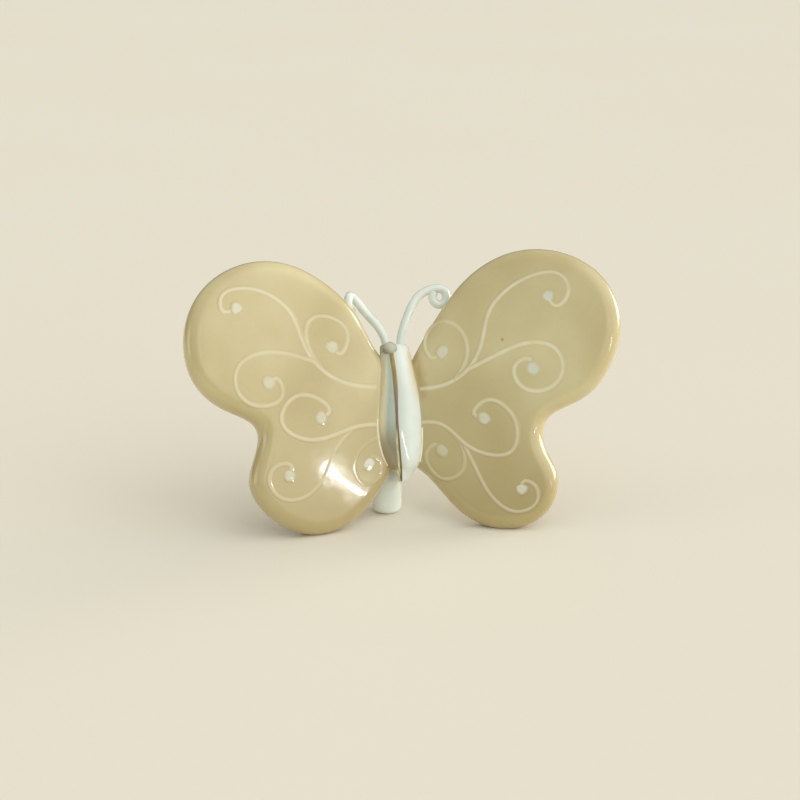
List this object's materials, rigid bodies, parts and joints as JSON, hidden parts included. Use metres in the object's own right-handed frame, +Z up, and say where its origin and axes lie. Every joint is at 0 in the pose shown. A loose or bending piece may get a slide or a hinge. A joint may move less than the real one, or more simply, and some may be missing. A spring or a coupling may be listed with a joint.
{
  "type": "butterfly ornament",
  "caption": "Glazed ceramic butterfly that leans back on its hindwings and a round tail strut, with raised scrolls and curled antennae.",
  "frame": {"origin": "on the table top, under the middle of the ornament's box", "axes": "+X to the right wing's tip, +Y to the back, +Z up"},
  "size_m": [0.0988, 0.0294, 0.0603],
  "materials": {
    "beige_glaze": "glossy beige glaze",
    "white_glaze": "glossy white glaze",
    "cream_slip": "raised cream slip under a clear glaze",
    "gilding": "burnished gold lustre"
  },
  "bodies": {
    "root": {"left_wing": "beige_glaze", "right_wing": "beige_glaze", "body": "white_glaze", "head": "white_glaze", "left_antenna": "white_glaze", "right_antenna": "white_glaze", "tail_foot": "white_glaze", "ridge_gilding": "gilding", "left_seam_gilding": "gilding", "right_seam_gilding": "gilding", "left_forewing_scrolls": "cream_slip", "left_hindwing_scrolls": "cream_slip", "right_forewing_scrolls": "cream_slip", "right_hindwing_scrolls": "cream_slip", "left_forewing_dots": "cream_slip", "left_hindwing_dots": "cream_slip", "right_forewing_dots": "cream_slip", "right_hindwing_dots": "cream_slip"}
  },
  "joints": []
}
